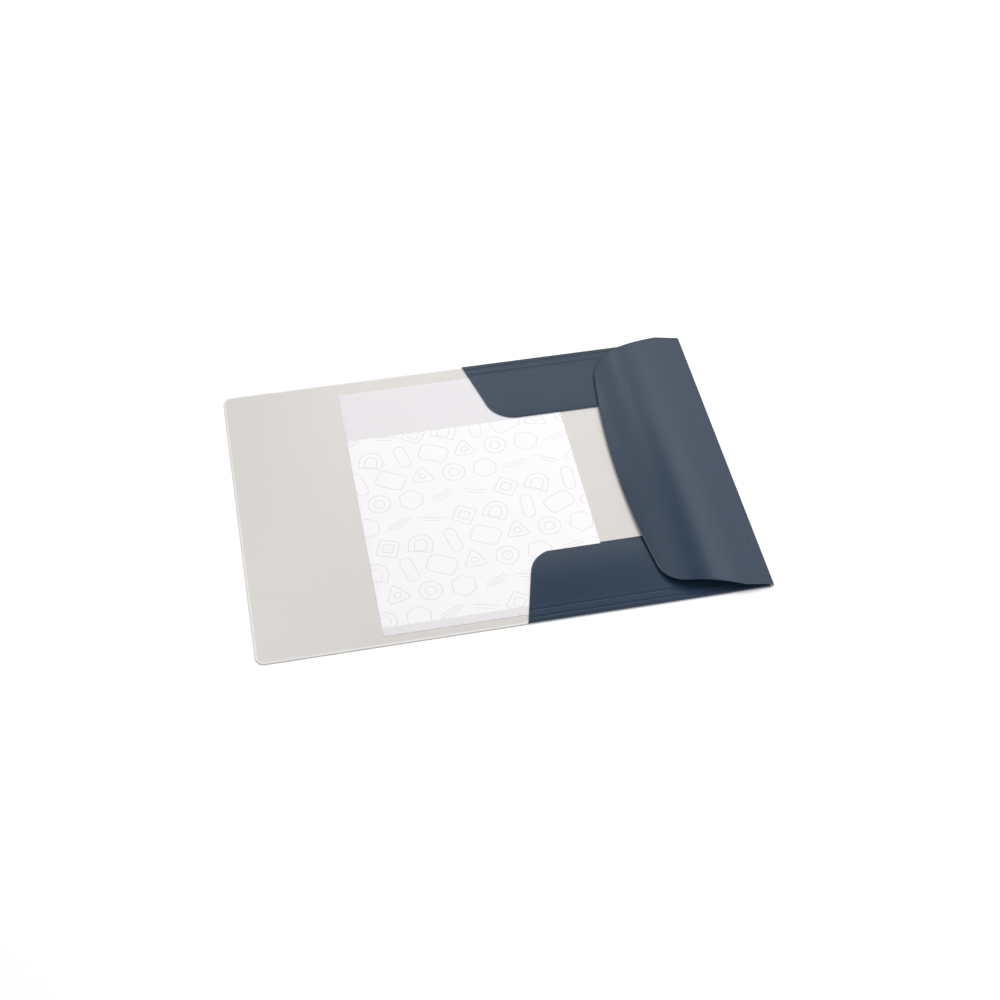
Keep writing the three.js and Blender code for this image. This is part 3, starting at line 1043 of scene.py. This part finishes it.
flap_angle = 180 - math.degrees(math.atan(BULGE_START_SLOPE))
lip_angle = 90 + LIP_LEAN
half_turn = math.radians(flap_angle - lip_angle) / 2
cut_back = HINGE_ROUND * math.tan(half_turn)
lip_way = np.array([math.cos(math.radians(lip_angle)), math.sin(math.radians(lip_angle))])
flap_way = np.array([math.cos(math.radians(flap_angle)), math.sin(math.radians(flap_angle))])
hinge_point = np.array([side_crease.x, side_crease.z])
round_centre = hinge_point - lip_way * cut_back + HINGE_ROUND * np.array([-lip_way[1], lip_way[0]])
after_round = hinge_point + flap_way * cut_back
lip_centre = (bend_x, sheet_under + LIP_BEND_RADIUS)
lip_bend = arc(lip_centre, LIP_BEND_RADIUS, -90, LIP_LEAN, LIP_STEPS)


def side_flap_profile(crest, drop):
    return Profile([
        *lip_bend,
        *arc(round_centre, HINGE_ROUND, lip_angle - 90, flap_angle - 90, HINGE_STEPS),
        *[p for p in bulge_points(crest, drop) if p[0] < after_round[0] - JOIN_GAP],
    ])


near_bulge = side_flap_profile(*NEAR_CREST)
far_bulge = side_flap_profile(*FAR_CREST)
hinge_index = len(lip_bend) + HINGE_STEPS // 2
to_hinge = near_bulge.distance[hinge_index]
print(f"lip and hinge take {to_hinge:.2f} mm of sheet, whole profile {near_bulge.length:.1f} mm")

# %% [markdown]
# The flap's free edge is a shallow arc, which runs into the tapered ends through two rounder
# corners. A Bevel on the corner can't join an arc, so its centre is found by geometry: it lies
# one radius inside the tapered side, and its circle touches the big arc from inside. The outline
# is drawn as it looks from above, and its points are then moved along by what the bulge adds to
# the length.

# %% Outline of the side flap
SIDE_FLAP_TAPER_START = 25
SIDE_FLAP_CORNER = 31
SIDE_FLAP_CORNER_STEPS = 12
SIDE_FLAP_EDGE = 870
SIDE_FLAP_EDGE_STEPS = 40
SIDE_STEP = 8
END_START = 1.2
LIP_END_GAP = 0.2

lip_half = fold_start
side_flap_half = flap_high.y
edge_centre = side_flap_width - SIDE_FLAP_EDGE
tapered_way = Vector((math.cos(math.radians(FLAP_TAPER)), -math.sin(math.radians(FLAP_TAPER))))
into_flap = Vector((tapered_way.y, -tapered_way.x))
taper_start = Vector((SIDE_FLAP_TAPER_START, side_flap_half))
from_centre = taper_start + into_flap * SIDE_FLAP_CORNER - Vector((edge_centre, 0))
along_side = from_centre.dot(tapered_way)
spare = (SIDE_FLAP_EDGE - SIDE_FLAP_CORNER) ** 2 - from_centre.length_squared
from_centre += tapered_way * (math.sqrt(along_side ** 2 + spare) - along_side)
corner_centre = (edge_centre + from_centre.x, from_centre.y)
meet_angle = math.degrees(math.atan2(from_centre.y, from_centre.x))


def pattern_u(distance):
    """Place on the pattern of a point that lies at a distance from the crease as seen from above"""
    runs = side_crease.x - near_bulge.points[hinge_index:, 0]
    return float(np.interp(distance, runs, near_bulge.distance[hinge_index:]))


seen_from_above = [
    *arc((edge_centre, 0), SIDE_FLAP_EDGE, 0, meet_angle, SIDE_FLAP_EDGE_STEPS),
    *arc(corner_centre, SIDE_FLAP_CORNER, meet_angle, 90 - FLAP_TAPER, SIDE_FLAP_CORNER_STEPS)[1:],
    *[tuple(taper_start + tapered_way * SIDE_STEP * k) for k in (4, 3, 2, 1, 0)],
    (END_START, side_flap_half),
]
far_side = [(pattern_u(distance), v) for distance, v in seen_from_above]
far_side += [(to_hinge + LIP_END_GAP, lip_half), (0, lip_half)]
side_outline = far_side + [(u, -v) for u, v in reversed(far_side)][:-1]
print(f"corner circle touches the free edge at {meet_angle:.2f} degrees")

# %% [markdown]
# The flap is wrapped on both of its profiles, and each point takes a share of either, which
# grows smoothly along the flap. Two shape keys mixed by a vertex group would give the same
# surface, but they would stay on the mesh as something that can still be changed.

# %% Side flap
SIDE_FLAP_CREASE = (8.6,)
CHANGE_START = -80
CHANGE_END = 120
HINGE_REACH = 0.7
GROOVES_FROM_HINGE = 2


def side_place(u, v, depth):
    pressed = crease_relief(u - to_hinge, SIDE_FLAP_CREASE)
    pressed = np.where(u > to_hinge + GROOVES_FROM_HINGE, pressed, 0)
    near = near_bulge.place(u, depth + pressed)
    far = far_bulge.place(u, depth + pressed)
    share = smooth((v - CHANGE_START) / (CHANGE_END - CHANGE_START))
    run, rise = (a + (b - a) * share for a, b in zip(near, far))
    return run, v, rise


hinge_lines = [to_hinge + HINGE_REACH * k / 5 for k in range(-5, 6)]
bend_lines = [LIP_BEND_RADIUS * math.radians(lip_angle) * k / 8 for k in range(1, 9)]
side_sheet = folder_piece(
    "side_flap_sheet",
    side_outline,
    side_place,
    seams=(0,),
    u_lines=sorted(
        bend_lines + hinge_lines + [to_hinge + line for line in crease_lines(SIDE_FLAP_CREASE)]
    ),
)

# %% [markdown]
# Each piece's placement is baked into its mesh here.

# %% Placement of the folded sheets
def across_crease(piece):
    """Bakes a piece's placement into its mesh"""
    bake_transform(piece)


across_crease(front_sheet)
across_crease(back_sheet)
across_crease(side_sheet)
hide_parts("front_cover", "spine")
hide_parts("back_cover", "spine")
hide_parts("side_flap")

# %% [markdown]
# The loose sheet in the folder is printed paper. Its print is a scatter of plain outline shapes
# in a light grey. A picture on the surface would blur up close, so the ink is made of faces of
# the paper itself: each outline becomes two closed loops, one half a line width inside it and
# one outside, and the faces between the two get the ink's material.

# %% Shapes of the print
INK_WIDTH = 0.5


def rounded(corners, radius, steps=4):
    """An anticlockwise polygon with rounded corners"""
    result = []
    for i, corner in enumerate(corners):
        corner = Vector(corner)
        into = (corner - Vector(corners[i - 1])).normalized()
        out = (Vector(corners[(i + 1) % len(corners)]) - corner).normalized()
        turn = math.degrees(math.acos(max(-1, min(1, into.dot(out)))))
        centre = corner + (out - into).normalized() * radius / math.cos(math.radians(turn / 2))
        start = math.degrees(math.atan2(into.y, into.x)) - 90
        result += arc(centre, radius, start, start + turn, steps)
    return result


def block(width, height):
    return [(i * width / 2, j * height / 2) for i, j in ((-1, -1), (1, -1), (1, 1), (-1, 1))]


def regular(sides, radius):
    return arc((0, 0), radius, 90, 450, sides)[:-1]


def arch_shape(radius, leg):
    return [(radius, -leg), *arc((0, 0), radius, 0, 180, 14), (-radius, -leg)]


def stroke(outline):
    return [moved(outline, inset, ()) for inset in (-INK_WIDTH / 2, INK_WIDTH / 2)]


def bar(length, height):
    return [(x, y + height) for x, y in block(length, INK_WIDTH)]


MOTIFS = [
    stroke(regular(24, 10.5)) + stroke(regular(18, 5)),
    stroke(rounded(block(27, 19), 5)),
    stroke(arch_shape(11, 9)) + stroke(arch_shape(5.5, 7.5)),
    [bar(24, 2.2), bar(16, -1.4)],
    stroke(rounded(regular(6, 12), 2.5)),
    stroke(rounded(regular(3, 14), 3)) + stroke(regular(14, 3.2)),
    stroke(rounded(block(11, 28), 5.4)),
    stroke(rounded(regular(4, 13), 1.5)) + stroke(rounded(regular(4, 6.5), 1)),
    [bar(20, 3), bar(26, 0), bar(14, -3)],
]
print(len(MOTIFS), "motifs")

# %% [markdown]
# The motifs stand in staggered rows and are cut off at the paper's edges, as a print that runs
# off the sheet is. They could be scattered at random with a seed, but then some would overlap.
# Here the order and the tilt follow from the row and column numbers, so the pattern looks
# scattered and still comes out the same every time.

# %% Layout of the print
HEADER_HEIGHT = 63
FOOTER_HEIGHT = 9
MOTIF_STEP = (30, 27)
PRINT_START = (4, 6)
PRINT_ROWS = 9
PRINT_COLUMNS = 8
TILT_STEP = 13

header_line = insert_high.y - HEADER_HEIGHT
footer_line = insert_low.y + FOOTER_HEIGHT


def turned(outline, degrees, centre):
    c, s = math.cos(math.radians(degrees)), math.sin(math.radians(degrees))
    return [(centre[0] + x * c - y * s, centre[1] + x * s + y * c) for x, y in outline]


def print_loops():
    loops = []
    for row in range(PRINT_ROWS):
        for column in range(PRINT_COLUMNS):
            x = insert_low.x + PRINT_START[0] + MOTIF_STEP[0] * (column + 0.5 * (row % 2))
            y = footer_line + PRINT_START[1] + MOTIF_STEP[1] * row
            motif = MOTIFS[(row * 5 + column * 4 + row // 2) % len(MOTIFS)]
            tilt = TILT_STEP * ((row * 3 + column * 2) % 5 - 2)
            loops += [turned(outline, tilt, (x, y)) for outline in motif]
    return loops


print(len(print_loops()), "loops of ink")

# %% [markdown]
# Office paper is matt and has a soft tooth. The header and footer of the print are a plain pale
# tint. One material with a mask would do for all three colours, but the ink has faces of its
# own, so three plain materials are simpler and stay sharp at any distance.

# %% Paper and ink
PAPER_COLOURS = {
    "paper": (251, 249, 251),
    "print_tint": (234, 231, 234),
    "print_ink": (214, 212, 215),
}
PAPER_ROUGHNESS = 0.6
PAPER_GRAIN = ((0.25, 0.01, 3),)
PAPER_PATCH = 15


def paper_material(name, colour):
    material = new_material(name, colour, PAPER_ROUGHNESS)
    cloud_colour(material, colour, 0.006, PAPER_PATCH)
    grain(material, PAPER_GRAIN)
    return material


PAPER_MATERIALS = [paper_material(name, colour) for name, colour in PAPER_COLOURS.items()]
PAPER, TINT, INK = range(3)
print(len(PAPER_MATERIALS), "paper materials")

# %% [markdown]
# The paper lies across the spine. It is made as two halves that meet in the middle of the spine,
# and each half has rows of points at its crease. Paper doesn't fold as sharply as the sheet, so
# these rows spread wider.

# %% Insert sheet
PAPER_BEND = 3.0
PAPER_EDGE = 0.05
PAPER_GRID = 8

insert_depth = insert_high.z - insert_low.z


def paper_place(u, v, depth):
    return u, v, insert_low.z + depth


def paper_half(name, left, right, crease_x):
    low, high = insert_low.y, insert_high.y
    outline = divided([(left, low), (right, low), (right, high), (left, high)], GRID)
    bends = [crease_x + PAPER_BEND * k / 4 for k in range(-4, 5)]
    rim = moved(outline, PAPER_EDGE, (0,))
    points, faces, held = fill(
        [rim], bends, (header_line, footer_line), print_loops(), spacing=PAPER_GRID
    )
    slots = []
    for face, numbers in zip(faces, held):
        y = sum(points[i][1] for i in face) / 3
        printed = INK if (len(numbers) - 1) % 2 else PAPER
        slots.append((PAPER, printed if footer_line < y < header_line else TINT))
    return closed_sheet(
        name, (points, faces), slots, paper_place, insert_depth, PAPER_EDGE, (0,),
        lambda *_: PAPER, PAPER_MATERIALS,
    )


paper_left = paper_half("insert_sheet_left", insert_low.x, 0, cover_crease.x)
paper_right = paper_half("insert_sheet_right", 0, insert_high.x, spine_crease.x)
across_crease(paper_left)
across_crease(paper_right)
for half in (paper_left, paper_right):
    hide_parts("insert_sheet")

# %% [markdown]
# The band is a flat woven elastic: lengthwise ribs with fine cross threads between them. The
# threads are too small to model one by one, so a wave texture across the band gives them as a
# bump. The ribs are bigger, and the next step makes them as real shape.

# %% Woven elastic
ELASTIC = (44, 54, 66)
THREAD_SCALE = 600
THREAD_HEIGHT = 0.08


def elastic_material(name):
    material = new_material(name, ELASTIC, 0.85)
    cloud_colour(material, ELASTIC, 0.08, 3)
    tree = material.node_tree
    place = add_node(tree, "ShaderNodeTexCoord")
    threads = add_node(tree, "ShaderNodeTexWave", bands_direction="Y")
    threads.inputs["Scale"].default_value = THREAD_SCALE
    threads.inputs["Distortion"].default_value = 1.5
    weave = add_node(tree, "ShaderNodeBump")
    weave.inputs["Distance"].default_value = THREAD_HEIGHT * MM
    tree.links.new(place.outputs["Object"], threads.inputs["Vector"])
    tree.links.new(threads.outputs["Fac"], weave.inputs["Height"])
    tree.links.new(weave.outputs["Normal"], tree.nodes["Principled BSDF"].inputs["Normal"])
    return material


elastic = elastic_material("woven_elastic")
print("elastic material:", elastic.name)

# %% [markdown]
# The elastic band runs flat under the back cover, and its ends come up through the two slots.
# Its ribbed cross-section is swept along the same kind of profile as the sheet. A curve with a
# bevel object would sweep it too, but it twists a flat section at the tight bends of the ends.

# %% Elastic band
RIBS = 6
RIB_DEPTH = 0.06
POINTS_PER_RIB = 8
BAND_BEND = 0.8
BAND_BEND_STEPS = 6
BAND_ROW = 6
STRAIGHT_FROM = 5
STRAIGHT_TO = 4


def band_line():
    """The band's outer face as (y, z), from the near end over the bottom to the far end"""
    near, far, top = band_low.y, band_high.y, band_high.z
    return [
        (near, top),
        *arc((near + BAND_BEND, BAND_BEND), BAND_BEND, 180, 270, BAND_BEND_STEPS),
        *[(y, 0) for y in np.arange(near + STRAIGHT_FROM, far - STRAIGHT_TO, BAND_ROW)],
        *arc((far - BAND_BEND, BAND_BEND), BAND_BEND, 270, 360, BAND_BEND_STEPS),
        (far, top),
    ]


def band_section():
    """The ribbed cross-section as (x, depth), around both faces"""
    half = (band_high.x - band_low.x) / 2
    across = np.linspace(-1, 1, POINTS_PER_RIB * RIBS + 1)
    valley = RIB_DEPTH * (0.5 - 0.5 * np.cos(math.pi * RIBS * (across + 1)))
    outer_side = [(half * a, d) for a, d in zip(across, valley)]
    return outer_side + [(x, BAND_THICKNESS - d) for x, d in reversed(outer_side)]


def swept_band(name):
    profile = Profile(band_line())
    section = band_section()
    middle = (band_low.x + band_high.x) / 2
    size = len(section)
    vertices = []
    for distance in profile.distance:
        for x, depth in section:
            y, z = profile.place(distance, depth)
            vertices.append(np.array((middle + x, float(y), float(z))))
    faces = []
    for row in range(len(profile.distance) - 1):
        this, following = row * size, (row + 1) * size
        for i in range(size):
            j = (i + 1) % size
            faces.append((this + j, this + i, following + i, following + j))
    faces += [tuple(range(size)), tuple(reversed(range(len(vertices) - size, len(vertices))))]
    print(f"elastic {profile.length:.1f} mm long")
    return build_object(name, vertices, faces, [0] * len(faces), (elastic,))


band = swept_band("elastic_band_woven")
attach(band, "back_cover")
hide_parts("elastic_band")

# %% [markdown]
# The band's ends are held by two small clips of brushed steel strip. Brushing is a noise that is
# drawn out along the strip, and a bump of a few thousandths of a millimetre is enough for it. An
# anisotropic shader would be another way, but it needs a tangent that follows each clip.

# %% Brushed steel
STEEL = (186, 188, 190)
BRUSH_SIZE = 0.15
BRUSH_STRETCH = (0.05, 1, 1)
BRUSH_HEIGHT = 0.004


def steel_material(name):
    material = new_material(name, STEEL, 0.3)
    tree = material.node_tree
    shader = tree.nodes["Principled BSDF"]
    shader.inputs["Metallic"].default_value = 1
    brushed = add_node(tree, "ShaderNodeBump")
    brushed.inputs["Distance"].default_value = BRUSH_HEIGHT * MM
    tree.links.new(noise(tree, BRUSH_SIZE, 2, BRUSH_STRETCH), brushed.inputs["Height"])
    tree.links.new(brushed.outputs["Normal"], shader.inputs["Normal"])
    return material


steel = steel_material("clip_steel")
print("clip material:", steel.name)

# %% [markdown]
# The clips are stamped from thin strip, so they are flat plates with rounded corners and edges
# that are only slightly rounded. A scaled cube with a bevel would do as well, but the sheet
# builder makes the same shape with even triangles, and it is at hand.

# %% Clips
CLIP_CORNER = 1.5
CLIP_EDGE = 0.08
CLIP_GRID = 1.5
CLIP_CORNER_STEPS = 8


def clip(name):
    low, high = node_box(name)
    centre = (low + high) / 2
    corners = block(high.x - low.x, high.y - low.y)
    outline = rounded(corners, CLIP_CORNER, CLIP_CORNER_STEPS)
    outline = [(x + centre.x, y + centre.y) for x, y in outline]
    rim = moved(divided(outline, CLIP_GRID), CLIP_EDGE, ())
    points, faces, held = fill([rim], spacing=CLIP_GRID)

    def clip_place(u, v, depth):
        return u, v, low.z + depth

    plate = closed_sheet(
        name + "_plate", (points, faces), [(0, 0)] * len(faces), clip_place, high.z - low.z,
        CLIP_EDGE, (), lambda *_: 0, (steel,),
    )
    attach(plate, "back_cover")
    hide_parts(name)


clip("band_clip_near")
clip("band_clip_far")
